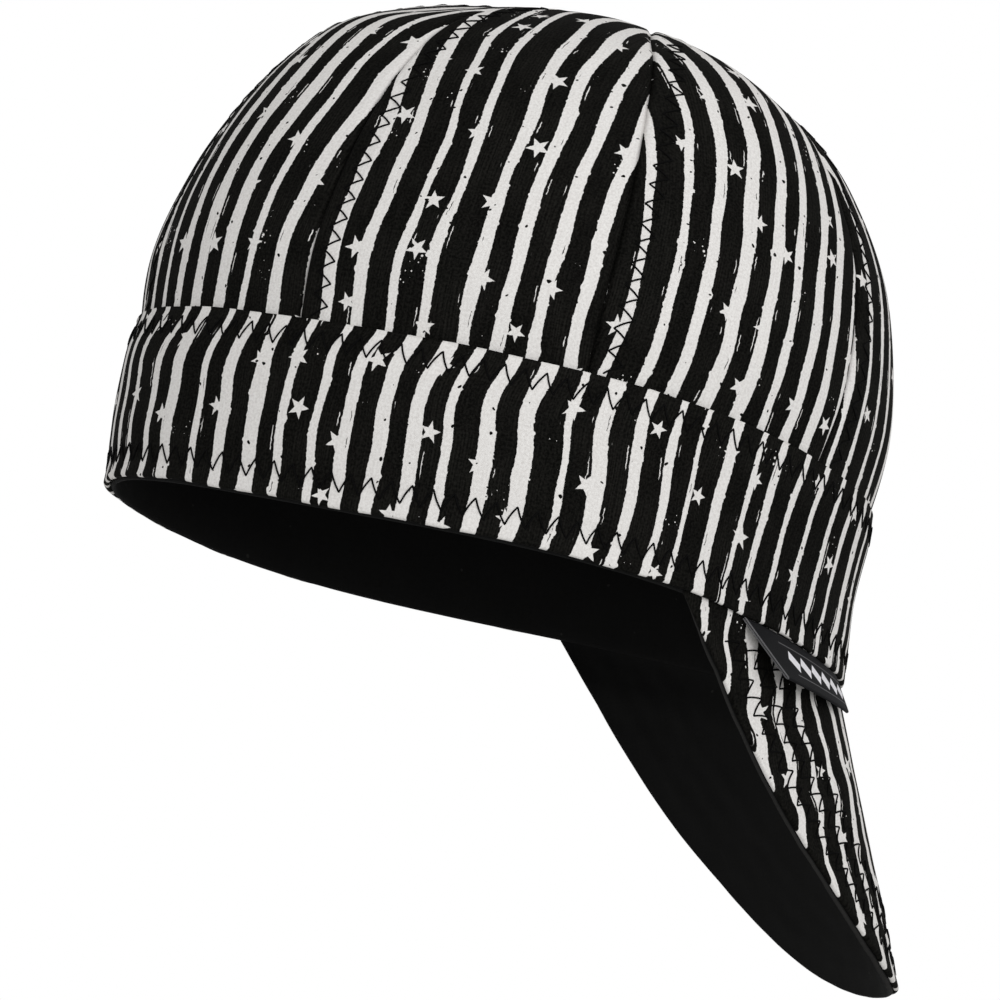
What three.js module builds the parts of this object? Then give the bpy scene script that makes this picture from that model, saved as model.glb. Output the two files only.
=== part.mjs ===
import * as THREE from 'three';

// Welding cap
// An eight-panel cotton cap as a welder wears it, with the bill turned to the back over the neck.
// Millimetres, +Z up along the cap. The origin is the middle of the head opening, level with the rim.
// The forehead is towards -Y, the bill hangs towards +Y, and +X is the wearer's left.

// Driving dimensions
const headLength = 200; // forehead to back of the head, over the band at the rim
const headWidth = 162.8; // side to side, over the band at the rim
const bandHeight = 44; // rim to the band's top edge
const crownHeight = 107; // the band's top edge to the point where the seams meet
const panelCount = 8;
const panelWall = 1.5; // printed cotton with its turned seam allowances
const panelPuff = 1.6; // how far a panel swells between its two seams
const seamAllowance = 10; // how far the crown reaches down behind the band
const crownPinhole = 2; // radius left where the panels' tips meet
const bandWall = 1.6;
const sweatbandWall = 1.4;
const sweatbandLift = 0.8; // the sweatband stops this far above the rim
const billDepth = 81; // rim to the free edge, along the middle of the bill
const billHalfAngle = 65; // degrees round the head from the middle of the back to each end
const billTopWall = 1.3;
const billUndersideWall = 1.3;
const billEndDepth = 2; // depth left at the bill's two ends
const billFlare = 25.5; // degrees that the middle of the bill leans out from the cap's axis
const billEndFlare = -7; // the same at the bill's two ends
const billDrawBack = 0.38; // share of the lean that points straight back instead of radially
const labelStart = 54; // degrees round from the back to the label's left end
const labelEnd = 19; // and to its right end
const labelDrop = [14.5, 10]; // how far the folded label hangs below the rim at its left and right end
const labelSlant = 6; // degrees that its lower left corner lies nearer the back than the upper one
const labelWall = 0.9;
const labelFlare = [36, 32]; // degrees that the label leans out at its left and right end
const clearance = 0.3; // between neighbouring pieces of cloth

// How many faces a piece is given
const panelAcross = 6;
const panelLevels = 11;
const bandAround = 72;
const bandLevels = 3;
const billAlong = 40;
const billRows = 6;
const labelAlong = 8;
const labelRows = 3;

// Rings of the band. Lengths are shares of half the head's length or width, and up of the band's
// height. Egg narrows the front or back, square flattens the quarters, sway and tilt lift the
// edge in waves round the head, as shares of half the head's length.
const bandTable = [
  { up: 0, length: 1, width: 1, shift: 0, egg: -0.044, square: -0.047, sway: -0.0074, tilt: -0.0131 },
  { up: 0.5, length: 0.9985, width: 1.031, shift: -0.0255, egg: -0.038, square: -0.03, sway: -0.009, tilt: -0.0125 },
  { up: 1, length: 1.0025, width: 1.062, shift: -0.0265, egg: -0.032, square: -0.014, sway: -0.0107, tilt: -0.0119 },
];

// Rings of the crown above the band, with up as a share of the crown's height. Bow draws the sides
// back from the middle of the ring, and crowd is how many degrees the seams between the panels
// crowd towards the back.
const crownTable = [
  { up: 0.168, length: 0.989, width: 1.073, shift: -0.033, bow: 0, crowd: 3.5 },
  { up: 0.355, length: 0.951, width: 1.03, shift: -0.034, bow: 0.01, crowd: 6 },
  { up: 0.523, length: 0.886, width: 0.96, shift: -0.037, bow: 0.022, crowd: 8 },
  { up: 0.682, length: 0.785, width: 0.856, shift: -0.045, bow: 0.038, crowd: 9 },
  { up: 0.813, length: 0.66, width: 0.72, shift: -0.046, bow: 0.05, crowd: 9 },
  { up: 0.906, length: 0.484, width: 0.528, shift: -0.034, bow: 0.05, crowd: 8 },
  { up: 0.962, length: 0.318, width: 0.347, shift: 0.002, bow: 0.04, crowd: 6 },
  { up: 0.991, length: 0.16, width: 0.175, shift: 0.048, bow: 0.02, crowd: 3 },
];
const crownTip = { up: 1, shift: 0.088, bow: 0, crowd: 0 };

// Soft dents of the cloth: where round the head in degrees and how far up the crown, how wide and
// tall, and how deep as a share of the panels' puff.
const dentTable = [
  { around: 152, up: 0.9, wide: 16, tall: 0.1, deep: 1.3 },
  { around: 128, up: 0.82, wide: 12, tall: 0.16, deep: 0.8 },
  { around: 226, up: 0.7, wide: 22, tall: 0.2, deep: 1.0 },
  { around: 40, up: 0.55, wide: 14, tall: 0.22, deep: 0.6 },
  { around: 300, up: 0.45, wide: 18, tall: 0.18, deep: 0.7 },
];

// Depth of the bill, as a share of its depth in the middle, at shares of its half angle.
const billTable = [
  { side: 0, depth: 1 },
  { side: 0.27, depth: 0.925 },
  { side: 0.55, depth: 0.61 },
  { side: 0.77, depth: 0.3 },
  { side: 0.93, depth: 0.065 },
  { side: 1, depth: 0 },
];

const halfLength = headLength / 2;
const halfWidth = headWidth / 2;
const radians = THREE.MathUtils.degToRad;
const lerp = THREE.MathUtils.lerp;

// Value of one column at a share of the way through a table, on a smooth curve through its rows.
function column(rows, name, share) {
  const points = rows.map((row, index) => new THREE.Vector2(index, row[name]));
  return new THREE.SplineCurve(points).getPoint(share).y;
}

// A point at an angle round a ring, counted from the back of the head towards the wearer's left.
function ringPoint(ring, angle) {
  const swell = 1 + ring.square * (1 - Math.cos(4 * angle)) / 2;
  return new THREE.Vector3(
    swell * ring.halfWidth * Math.sin(angle) * (1 + ring.egg * Math.cos(angle)),
    ring.middle + swell * ring.halfLength * Math.cos(angle) + ring.bow * Math.sin(angle) ** 2,
    ring.height + ring.sway * Math.cos(2 * angle) + ring.tilt * Math.cos(3 * angle),
  );
}

function insetRing(ring, distance) {
  return { ...ring, halfLength: ring.halfLength - distance, halfWidth: ring.halfWidth - distance };
}

// The band's outer ring at a share of its height.
function bandRing(share) {
  return {
    halfLength: halfLength * column(bandTable, 'length', share),
    halfWidth: halfWidth * column(bandTable, 'width', share),
    middle: halfLength * column(bandTable, 'shift', share),
    bow: 0,
    height: bandHeight * column(bandTable, 'up', share),
    egg: column(bandTable, 'egg', share),
    square: column(bandTable, 'square', share),
    sway: halfLength * column(bandTable, 'sway', share),
    tilt: halfLength * column(bandTable, 'tilt', share),
  };
}

// The crown leaves the band from behind it, so its first ring is inside the band's top edge.
const bandTop = bandTable[bandTable.length - 1];
const crownFoot = insetRing(bandRing(1), bandWall + clearance);
const crownRows = [
  {
    up: 0,
    length: crownFoot.halfLength / halfLength,
    width: crownFoot.halfWidth / halfWidth,
    shift: bandTop.shift,
    bow: 0,
    crowd: 1,
  },
  ...crownTable,
  { ...crownTip, length: crownPinhole / halfLength, width: crownPinhole / halfWidth },
];

function crownRing(share) {
  const fade = 1 - share;
  return {
    halfLength: halfLength * column(crownRows, 'length', share),
    halfWidth: halfWidth * column(crownRows, 'width', share),
    middle: halfLength * column(crownRows, 'shift', share),
    bow: halfLength * column(crownRows, 'bow', share),
    height: bandHeight + crownHeight * column(crownRows, 'up', share),
    egg: crownFoot.egg * fade,
    square: crownFoot.square * fade,
    sway: crownFoot.sway * fade ** 2,
    tilt: crownFoot.tilt * fade ** 2,
  };
}

// How far the panels' cloth stands out at a place on the crown: full between the seams, none along
// them, less near the band and the tip, and pushed in at the dents.
function crownPuff(share, across, angle) {
  const up = column(crownRows, 'up', share);
  const rise = Math.sin(Math.PI * share ** 0.8);
  let puff = Math.sin(Math.PI * across) * rise;
  for (const dent of dentTable) {
    const turn = Math.atan2(Math.sin(angle - radians(dent.around)), Math.cos(angle - radians(dent.around)));
    const far = (turn / radians(dent.wide)) ** 2 + ((up - dent.up) / dent.tall) ** 2;
    puff -= dent.deep * Math.exp(-far) * Math.sin(Math.PI * across);
  }
  return panelPuff * puff;
}

// Direction along a line of points at one of them. An open line bends on past its ends.
function lineDirection(points, index, looped) {
  const last = points.length - 1;
  const between = (from, to) => points[to].clone().sub(points[from]);
  if (looped) return between((index + last) % (last + 1), (index + 1) % (last + 1));
  if (index > 0 && index < last) return between(index - 1, index + 1);
  const inward = index === 0 ? 1 : -1;
  const first = between(index, index + inward).multiplyScalar(4);
  return first.sub(between(index, index + 2 * inward)).multiplyScalar(inward);
}

// The direction out of a grid of points at one of them.
function gridNormal(grid, row, col, looped) {
  const along = lineDirection(grid[row], col, looped);
  const up = lineDirection(grid.map((points) => points[col]), row, false);
  return up.cross(along).normalize();
}

// A grid moved out by a distance, or by what a function gives for each row and column.
function offsetGrid(grid, distance, looped = false) {
  const distanceAt = typeof distance === 'function' ? distance : () => distance;
  return grid.map((points, row) => points.map((point, col) =>
    point.clone().addScaledVector(gridNormal(grid, row, col, looped), distanceAt(row, col))));
}

// Cloth between two grids of points. Rows run from the lower edge up, columns towards the wearer's
// left. A looped sheet closes on itself round the head, and any other has two side edges.
function clothBetween(outer, inner, looped = false) {
  const rows = outer.length;
  const cols = outer[0].length;
  const positions = [...outer.flat(), ...inner.flat()].flatMap((point) => point.toArray());
  const at = (side, row, col) => side * rows * cols + row * cols + (col % cols);
  const faces = [];
  const quad = (a, b, c, d) => faces.push(a, b, c, a, c, d);
  const spans = looped ? cols : cols - 1;
  for (let col = 0; col < spans; col++) {
    for (let row = 0; row < rows - 1; row++) {
      quad(at(0, row, col), at(0, row + 1, col), at(0, row + 1, col + 1), at(0, row, col + 1));
      quad(at(1, row, col), at(1, row, col + 1), at(1, row + 1, col + 1), at(1, row + 1, col));
    }
    quad(at(0, 0, col), at(0, 0, col + 1), at(1, 0, col + 1), at(1, 0, col));
    quad(at(0, rows - 1, col), at(1, rows - 1, col), at(1, rows - 1, col + 1), at(0, rows - 1, col + 1));
  }
  if (!looped) {
    for (let row = 0; row < rows - 1; row++) {
      const end = cols - 1;
      quad(at(0, row, 0), at(1, row, 0), at(1, row + 1, 0), at(0, row + 1, 0));
      quad(at(0, row, end), at(0, row + 1, end), at(1, row + 1, end), at(1, row, end));
    }
  }
  const geometry = new THREE.BufferGeometry();
  geometry.setAttribute('position', new THREE.Float32BufferAttribute(positions, 3));
  geometry.setIndex(faces);
  geometry.computeVertexNormals();
  return geometry;
}

// A grid of points from rows and columns given as shares from 0 to 1.
function gridOf(rows, cols, pointAt, looped = false) {
  const colEnd = looped ? cols : cols + 1;
  return Array.from({ length: rows + 1 }, (_, row) =>
    Array.from({ length: colEnd }, (_, col) => pointAt(row / rows, col / cols)));
}

const cotton = {
  printed: new THREE.MeshStandardMaterial({ color: 0x8f8d8a, roughness: 0.88, metalness: 0 }),
  black: new THREE.MeshStandardMaterial({ color: 0x131313, roughness: 0.92, metalness: 0 }),
  woven: new THREE.MeshStandardMaterial({ color: 0x222326, roughness: 0.7, metalness: 0 }),
};

function piece(name, geometry, material) {
  const mesh = new THREE.Mesh(geometry, material);
  mesh.name = name;
  return mesh;
}

// Angle round the head of a seam, crowded by some degrees towards the back.
function seamAngle(seam, crowd) {
  const even = 2 * Math.PI * seam / panelCount;
  return even - radians(crowd) * Math.sin(2 * even) * (1 + Math.cos(even)) / 2;
}

// Angle of a place across a panel, half a clearance away from the seams beside it.
function panelAngle(ring, panel, across, crowd) {
  const clear = (angle) => {
    const point = ringPoint(ring, angle);
    return clearance / 2 / Math.hypot(point.x, point.y - ring.middle);
  };
  const from = seamAngle(panel, crowd);
  const to = seamAngle(panel + 1, crowd);
  return lerp(from + clear(from), to - clear(to), across);
}

// One panel, from its seam allowance behind the band up to its tip. Its plain surface has no puff.
function crownPanel(panel) {
  const marginRing = insetRing(bandRing(1 - seamAllowance / bandHeight), bandWall + clearance);
  const rings = [marginRing];
  for (let level = 0; level <= panelLevels; level++) rings.push(crownRing(level / panelLevels));
  const crowdAt = (row) => column(crownRows, 'crowd', Math.max(row - 1, 0) / panelLevels);
  const angleAt = (row, col) => panelAngle(rings[row], panel, col / panelAcross, crowdAt(row));
  const plain = rings.map((ring, row) =>
    Array.from({ length: panelAcross + 1 }, (_, col) => ringPoint(ring, angleAt(row, col))));
  const puffAt = (row, col) =>
    row === 0 ? 0 : crownPuff((row - 1) / panelLevels, col / panelAcross, angleAt(row, col));
  const outer = offsetGrid(plain, puffAt);
  const inner = offsetGrid(plain, (row, col) => puffAt(row, col) - panelWall);
  return clothBetween(outer, inner);
}

function bandSheet() {
  const outer = gridOf(bandLevels, bandAround, (up, around) => ringPoint(bandRing(up), 2 * Math.PI * around), true);
  return clothBetween(outer, offsetGrid(outer, -bandWall, true), true);
}

function sweatbandSheet() {
  const foot = sweatbandLift / bandHeight;
  const head = 1 - (seamAllowance + clearance) / bandHeight;
  const outer = gridOf(bandLevels, bandAround, (up, around) => {
    const ring = insetRing(bandRing(lerp(foot, head, up)), bandWall + clearance);
    return ringPoint(ring, 2 * Math.PI * around);
  }, true);
  return clothBetween(outer, offsetGrid(outer, -sweatbandWall, true), true);
}

// Level direction away from the cap at an angle round the rim, drawn back by a share.
function rimOutward(angle, drawBack) {
  const rim = bandRing(0);
  const step = 0.001;
  const along = ringPoint(rim, angle + step).sub(ringPoint(rim, angle - step));
  const out = new THREE.Vector3(-along.y, along.x, 0).normalize();
  if (out.dot(ringPoint(rim, angle)) < 0) out.negate();
  return out.lerp(new THREE.Vector3(0, 1, 0), drawBack).normalize();
}

// A place under the rim, a share of drop down a sheet that leans out by flare degrees.
function hangingPoint(angle, inset, drop, flare, drawBack) {
  const lean = rimOutward(angle, drawBack).multiplyScalar(drop * Math.sin(radians(flare)));
  const root = ringPoint(bandRing(0), angle).addScaledVector(rimOutward(angle, 0), -inset);
  root.z -= clearance + drop * Math.cos(radians(flare));
  return root.add(lean);
}

// Depth of the bill at a share of its half angle, from -1 at the right end to 1 at the left.
function billDepthAt(side) {
  const reach = billTable.map((row) => new THREE.Vector2(row.side, row.depth));
  const mirrored = reach.slice(1).reverse().map((row) => new THREE.Vector2(-row.x, row.y));
  const curve = new THREE.SplineCurve([...mirrored, ...reach]);
  let before = 0;
  let after = 1;
  for (let halving = 0; halving < 30; halving++) {
    const middle = (before + after) / 2;
    if (curve.getPoint(middle).x < side) before = middle;
    else after = middle;
  }
  return billEndDepth + (billDepth - billEndDepth) * Math.max(curve.getPoint(before).y, 0);
}

// The bill's outer face. Its rows run from the free edge up to the rim.
function billGrid() {
  return gridOf(billRows, billAlong, (up, along) => {
    const side = 2 * along - 1;
    const flare = lerp(billFlare, billEndFlare, side ** 2);
    return hangingPoint(radians(billHalfAngle * side), bandWall, billDepthAt(side) * (1 - up), flare, billDrawBack);
  });
}

function billTopSheet() {
  const outer = billGrid();
  return clothBetween(outer, offsetGrid(outer, -billTopWall));
}

function billUndersideSheet() {
  const skin = billGrid();
  const outer = offsetGrid(skin, -billTopWall - clearance);
  const inner = offsetGrid(skin, -billTopWall - clearance - billUndersideWall);
  return clothBetween(outer, inner);
}

// The folded label is sewn in under the band and hangs over the bill, standing off at its left end.
function labelSheet() {
  const inset = bandWall - clearance - labelWall;
  const outer = gridOf(labelRows, labelAlong, (up, along) => {
    const angle = lerp(labelEnd, labelStart, along) - labelSlant * along * (1 - up);
    const drop = lerp(labelDrop[1], labelDrop[0], along) * (1 - up);
    const flare = lerp(labelFlare[1], labelFlare[0], along);
    return hangingPoint(radians(angle), inset, drop, flare, billDrawBack);
  });
  return clothBetween(outer, offsetGrid(outer, -labelWall));
}

const cap = new THREE.Group();
for (let panel = 0; panel < panelCount; panel++) {
  cap.add(piece(`crown_panel_${panel + 1}`, crownPanel(panel), cotton.printed));
}
cap.add(piece('band', bandSheet(), cotton.printed));
cap.add(piece('sweatband', sweatbandSheet(), cotton.black));
cap.add(piece('bill_top', billTopSheet(), cotton.printed));
cap.add(piece('bill_underside', billUndersideSheet(), cotton.black));
cap.add(piece('label', labelSheet(), cotton.woven));

export default cap;
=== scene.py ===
# %% [markdown]
# A welder's cap, built in Blender
#
# The cap has eight printed cotton panels that meet at the top of the crown, a doubled band round the
# head, a black sweatband inside it, and a soft bill that is worn turned back over the neck. The
# construction model holds the plain solids. This lesson dresses them: each cell below makes one piece
# or one finish, says what it is on the real cap, and why it is made the way it is.
#
# The first cell opens the construction model as a fixed frame. It is in metres with Z up, the origin in
# the middle of the head opening, the forehead towards -Y and the bill towards +Y.

# %% Open the frame
import bisect
import functools
import math
from collections import namedtuple
import bmesh
import bpy
from mathutils import Matrix, Vector, noise


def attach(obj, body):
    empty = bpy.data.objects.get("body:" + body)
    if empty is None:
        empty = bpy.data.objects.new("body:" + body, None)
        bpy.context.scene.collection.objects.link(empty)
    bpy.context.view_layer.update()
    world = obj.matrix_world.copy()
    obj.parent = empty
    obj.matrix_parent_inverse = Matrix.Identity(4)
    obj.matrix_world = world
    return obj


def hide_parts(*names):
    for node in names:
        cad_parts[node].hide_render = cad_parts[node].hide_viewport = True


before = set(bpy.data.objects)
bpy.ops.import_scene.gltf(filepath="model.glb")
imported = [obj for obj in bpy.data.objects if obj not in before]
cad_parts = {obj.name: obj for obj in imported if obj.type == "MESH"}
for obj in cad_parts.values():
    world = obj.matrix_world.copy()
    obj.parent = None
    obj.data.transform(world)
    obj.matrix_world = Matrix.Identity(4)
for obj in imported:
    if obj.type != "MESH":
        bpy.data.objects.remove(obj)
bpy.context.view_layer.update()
print("nodes in the frame:", len(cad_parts))

# %% [markdown]
# The cap is cut and sewn to a few sizes, so the script keeps them by name. Shapes that change along the
# cap are short tables, with lengths as shares of the head's half length or half width. Up is a share of
# the band's or the crown's height, shift moves a ring forwards or back, egg narrows the front, square
# flattens the quarters, and sway and tilt lift the edge in waves round the head. A dent is deepest
# between two seams, and seam is the share of its depth that reaches them.

# %% Sizes of the cap
mm = 0.001
head_length = 200 * mm
head_width = 162.8 * mm
band_height = 44 * mm
crown_height = 107 * mm
panel_count = 8
panel_wall = 1.5 * mm
panel_puff = 1.6 * mm
seam_allowance = 10 * mm
crown_pinhole = 0.06 * mm
band_wall = 1.6 * mm
sweatband_wall = 1.4 * mm
sweatband_show = 0.35 * mm
bill_depth = 81 * mm
bill_half_angle = math.radians(65)
bill_end_depth = 2 * mm
bill_flare = math.radians(25.5)
bill_end_flare = math.radians(-7)
bill_draw_back = 0.38
label_start = math.radians(54)
label_end = math.radians(19)
label_drop = (14.5 * mm, 10 * mm)
label_slant = math.radians(6)
label_flare = (math.radians(36), math.radians(32))
label_thick = 0.9 * mm
clearance = 0.3 * mm
half_length = head_length / 2
half_width = head_width / 2
print("girth over the band is near", round(1000 * math.pi * (half_length + half_width)), "mm")

# %% Tables of the band, the crown and the bill
band_table = [
    dict(up=0, length=1, width=1, shift=0, egg=-0.044, square=-0.047, sway=-0.0074, tilt=-0.0131),
    dict(up=0.5, length=0.9985, width=1.031, shift=-0.0255, egg=-0.038, square=-0.03, sway=-0.009,
         tilt=-0.0125),
    dict(up=1, length=1.0025, width=1.062, shift=-0.0265, egg=-0.032, square=-0.014, sway=-0.0107,
         tilt=-0.0119),
]
crown_table = [
    dict(up=0.168, length=0.989, width=1.073, shift=-0.033, bow=0, crowd=3.5),
    dict(up=0.355, length=0.951, width=1.03, shift=-0.034, bow=0.01, crowd=6),
    dict(up=0.523, length=0.886, width=0.96, shift=-0.037, bow=0.022, crowd=8),
    dict(up=0.682, length=0.785, width=0.856, shift=-0.045, bow=0.038, crowd=9),
    dict(up=0.813, length=0.66, width=0.72, shift=-0.046, bow=0.05, crowd=9),
    dict(up=0.906, length=0.484, width=0.528, shift=-0.034, bow=0.05, crowd=8),
    dict(up=0.962, length=0.318, width=0.347, shift=0.002, bow=0.04, crowd=6),
    dict(up=0.991, length=0.16, width=0.175, shift=0.048, bow=0.02, crowd=3),
]
crown_tip = dict(up=1, shift=0.088, bow=0, crowd=0)
dent_table = [
    dict(around=152, up=0.89, wide=16, tall=0.08, deep=1.3, seam=0),
    dict(around=128, up=0.82, wide=12, tall=0.16, deep=0.8, seam=0),
    dict(around=226, up=0.7, wide=22, tall=0.2, deep=1.0, seam=0),
    dict(around=40, up=0.55, wide=14, tall=0.22, deep=0.6, seam=0),
    dict(around=300, up=0.45, wide=18, tall=0.18, deep=0.7, seam=0),
    dict(around=14, up=0.89, wide=30, tall=0.1, deep=1.5, seam=0.6),
    dict(around=0, up=0.975, wide=40, tall=0.035, deep=0.9, seam=0.9),
    dict(around=48, up=0.968, wide=28, tall=0.045, deep=1.1, seam=1),
]
bill_table = [
    dict(side=0, depth=1),
    dict(side=0.27, depth=0.925),
    dict(side=0.55, depth=0.61),
    dict(side=0.77, depth=0.3),
    dict(side=0.93, depth=0.065),
    dict(side=1, depth=0),
]

# %% [markdown]
# A table gives a size at a few heights only, and cloth has no corners there. So every column is read
# along a smooth curve through its rows. A ring is then the outline of the cap at one height, and a point
# on it is found by its angle, counted from the middle of the back towards the wearer's left ear.

# %% Smooth reading of a table
def curve_through(values, share):
    """The value at a share of the way along a smooth curve through evenly spaced values."""
    last = len(values) - 1
    place = min(max(share, 0), 1) * last
    index = min(int(place), last - 1)
    t = place - index
    a = values[max(index - 1, 0)]
    b = values[index]
    c = values[index + 1]
    d = values[min(index + 2, last)]
    leave = (c - a) / 2
    arrive = (d - b) / 2
    cubed = 2 * b - 2 * c + leave + arrive
    squared = 3 * c - 3 * b - 2 * leave - arrive
    return cubed * t**3 + squared * t**2 + leave * t + b


def column(rows, name, share):
    return curve_through([row[name] for row in rows], share)


def blend(a, b, share):
    return a + (b - a) * share


def bump(distance, width):
    """A soft hump of height one, its width measured from the middle."""
    return math.exp(-((distance / width) ** 2))


print("band width halfway up, as a share:", round(column(band_table, "width", 0.5), 3))

# %% Rings round the head
Ring = namedtuple("Ring", "half_length half_width middle bow height egg square sway tilt")


def ring_point(ring, angle):
    sine = math.sin(angle)
    cosine = math.cos(angle)
    swell = 1 + ring.square * (1 - math.cos(4 * angle)) / 2
    x = swell * ring.half_width * sine * (1 + ring.egg * cosine)
    y = ring.middle + swell * ring.half_length * cosine + ring.bow * sine**2
    z = ring.height + ring.sway * math.cos(2 * angle) + ring.tilt * math.cos(3 * angle)
    return Vector((x, y, z))


def inset_ring(ring, distance):
    return ring._replace(half_length=ring.half_length - distance, half_width=ring.half_width - distance)


@functools.lru_cache(maxsize=None)
def band_ring(share):
    return Ring(
        half_length=half_length * column(band_table, "length", share),
        half_width=half_width * column(band_table, "width", share),
        middle=half_length * column(band_table, "shift", share),
        bow=0,
        height=band_height * share,
        egg=column(band_table, "egg", share),
        square=column(band_table, "square", share),
        sway=half_length * column(band_table, "sway", share),
        tilt=half_length * column(band_table, "tilt", share),
    )


crown_foot = inset_ring(band_ring(1), band_wall + clearance)
first_row = dict(
    up=0,
    length=crown_foot.half_length / half_length,
    width=crown_foot.half_width / half_width,
    shift=band_table[-1]["shift"],
    bow=0,
    crowd=1,
)
last_row = dict(crown_tip, length=crown_pinhole / half_length, width=crown_pinhole / half_width)
crown_rows = [first_row, *crown_table, last_row]
crown_hem = inset_ring(band_ring(1 - seam_allowance / band_height), band_wall + clearance)
hem_share = -0.08


@functools.lru_cache(maxsize=None)
def crown_ring(share):
    """The crown's ring at a share of its rise. Below zero it is the part behind the band."""
    if share < 0:
        foot = crown_ring(0)
        down = share / hem_share
        return Ring(*(blend(a, b, down) for a, b in zip(foot, crown_hem)))
    fade = 1 - share
    return Ring(
        half_length=half_length * column(crown_rows, "length", share),
        half_width=half_width * column(crown_rows, "width", share),
        middle=half_length * column(crown_rows, "shift", share),
        bow=half_length * column(crown_rows, "bow", share),
        height=band_height + crown_height * column(crown_rows, "up", share),
        egg=crown_foot.egg * fade,
        square=crown_foot.square * fade,
        sway=crown_foot.sway * fade**2,
        tilt=crown_foot.tilt * fade**2,
    )


print("crown foot is", round(1000 * crown_foot.half_length, 1), "mm long to each side of its middle")

# %% [markdown]
# Cloth is measured along itself, not through the air. A ruler walks along any curve in small steps and
# adds them up, so a stitch can be set every few millimetres and a print keeps its scale. The direction
# out of a surface comes from two short steps on it, one along and one up. No cloth is quite smooth, and
# soft noise makes its ripples, each with a length and a height.

# %% A ruler, the way out of a surface and ripples
class Ruler:
    """Lengths along a curve that is given from share 0 to share 1."""

    def __init__(self, curve, start=0.0, end=1.0, steps=480):
        self.shares = [blend(start, end, step / steps) for step in range(steps + 1)]
        points = [curve(share) for share in self.shares]
        self.marks = [0.0]
        for before, after in zip(points, points[1:]):
            self.marks.append(self.marks[-1] + (after - before).length)
        self.length = self.marks[-1]

    def share_at(self, length):
        return self.read(self.marks, self.shares, length)

    def length_at(self, share):
        return self.read(self.shares, self.marks, share)

    @staticmethod
    def read(known, wanted, value):
        index = min(max(bisect.bisect_right(known, value) - 1, 0), len(known) - 2)
        part = (value - known[index]) / (known[index + 1] - known[index])
        return blend(wanted[index], wanted[index + 1], part)


def way_out(surface, along, up, step=0.002, rise=0.002):
    """Square to a surface. Rise is below zero where the second number counts downwards."""
    east = surface(along + step, up) - surface(along - step, up)
    north = surface(along, up + rise) - surface(along, up - rise)
    return north.cross(east).normalized()


def ripple(place, long, high):
    return high * noise.noise(place / long)


def edge_ripple(arc, seed, long, high):
    """A ripple along a line, with two more coordinates as its seed."""
    return high * noise.noise(Vector((arc / long, *seed)))


def band_surface(around, share):
    return ring_point(band_ring(share), 2 * math.pi * around)


band_ruler = Ruler(lambda around: band_surface(around, 0.5))
print("girth halfway up the band:", round(1000 * band_ruler.length), "mm")

# %% [markdown]
# Every piece starts as the flat grid of create_grid, and each of its points is then laid on the cap. A
# grid keeps rows and columns straight, which is what woven cloth does, and it can carry the place that
# each point had on the cutting table. That place goes into a UV map named cut, in metres, and the print
# and the weave read it, so stripes run along the grain of each piece and stop at its seams.

# %% Lay a grid of cloth on the cap
def cloth(name, columns, rows, spot, cut, material, closed=False, worn=None):
    """A mesh object whose grid points are placed by spot and mapped by cut, both from column and row.

    Closed is for a folded strip. Edges that meet are joined, and ends that stay open are filled.
    """
    bm = bmesh.new()
    wear = bm.verts.layers.float.new("worn")
    bmesh.ops.create_grid(bm, x_segments=columns, y_segments=rows, size=0.5)
    bmesh.ops.reverse_faces(bm, faces=bm.faces)
    uv = bm.loops.layers.uv.new("cut")
    places = {}
    for vert in bm.verts:
        column_at = round((vert.co.x + 0.5) * columns)
        row_at = round((vert.co.y + 0.5) * rows)
        places[vert] = (column_at, row_at)
    cuts = {vert: cut(*place) for vert, place in places.items()}
    for face in bm.faces:
        face.smooth = True
        for loop in face.loops:
            loop[uv].uv = cuts[loop.vert]
    for vert, place in places.items():
        vert.co = spot(*place)
        vert[wear] = worn(*place) if worn else 0
    if closed:
        bmesh.ops.remove_doubles(bm, verts=bm.verts, dist=0.001 * mm)
        open_edges = [edge for edge in bm.edges if edge.is_boundary]
        bmesh.ops.holes_fill(bm, edges=open_edges, sides=0)
        bmesh.ops.recalc_face_normals(bm, faces=bm.faces)
    print(name, "has", len(bm.faces), "faces")
    return mesh_in_scene(name, bm, material)


def mesh_in_scene(name, bm, material):
    mesh = bpy.data.meshes.new(name)
    bm.to_mesh(mesh)
    bm.free()
    mesh.materials.append(material)
    return place_in_scene(name, mesh)


def place_in_scene(name, data):
    item = bpy.data.objects.new(name, data)
    bpy.context.scene.collection.objects.link(item)
    return item


# %% [markdown]
# The finishes come before the pieces, so that each piece is made with its own. A material is a small
# net of nodes. Written out by hand such a net gets long, so a Wire stands for one socket and joins
# nodes with plain arithmetic: adding two wires makes an Add node and returns its output.

# %% Wires between shader nodes
class Wire:
    """One output socket, or a plain number, in a node tree."""

    def __init__(self, tree, source):
        self.tree = tree
        self.source = source

    def math(self, operation, *others):
        node = self.tree.nodes.new("ShaderNodeMath")
        node.operation = operation
        for slot, value in enumerate((self, *others)):
            plug(self.tree, node.inputs[slot], value)
        return Wire(self.tree, node.outputs[0])

    def __add__(self, other):
        return self.math("ADD", other)

    def __sub__(self, other):
        return self.math("SUBTRACT", other)

    def __mul__(self, other):
        return self.math("MULTIPLY", other)

    def __truediv__(self, other):
        return self.math("DIVIDE", other)

    def under(self, limit, soft=0.0):
        """One where the wire is under the limit, none where it is over, with a soft change between."""
        node = self.tree.nodes.new("ShaderNodeMapRange")
        node.interpolation_type = "SMOOTHSTEP"
        plug(self.tree, node.inputs["Value"], self - limit)
        node.inputs["From Min"].default_value = -soft / 2 - 0.0001
        node.inputs["From Max"].default_value = soft / 2 + 0.0001
        node.inputs["To Min"].default_value = 1
        node.inputs["To Max"].default_value = 0
        return Wire(self.tree, node.outputs["Result"])

    def over(self, limit, soft=0.0):
        return Wire(self.tree, 1.0) - self.under(limit, soft)


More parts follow.
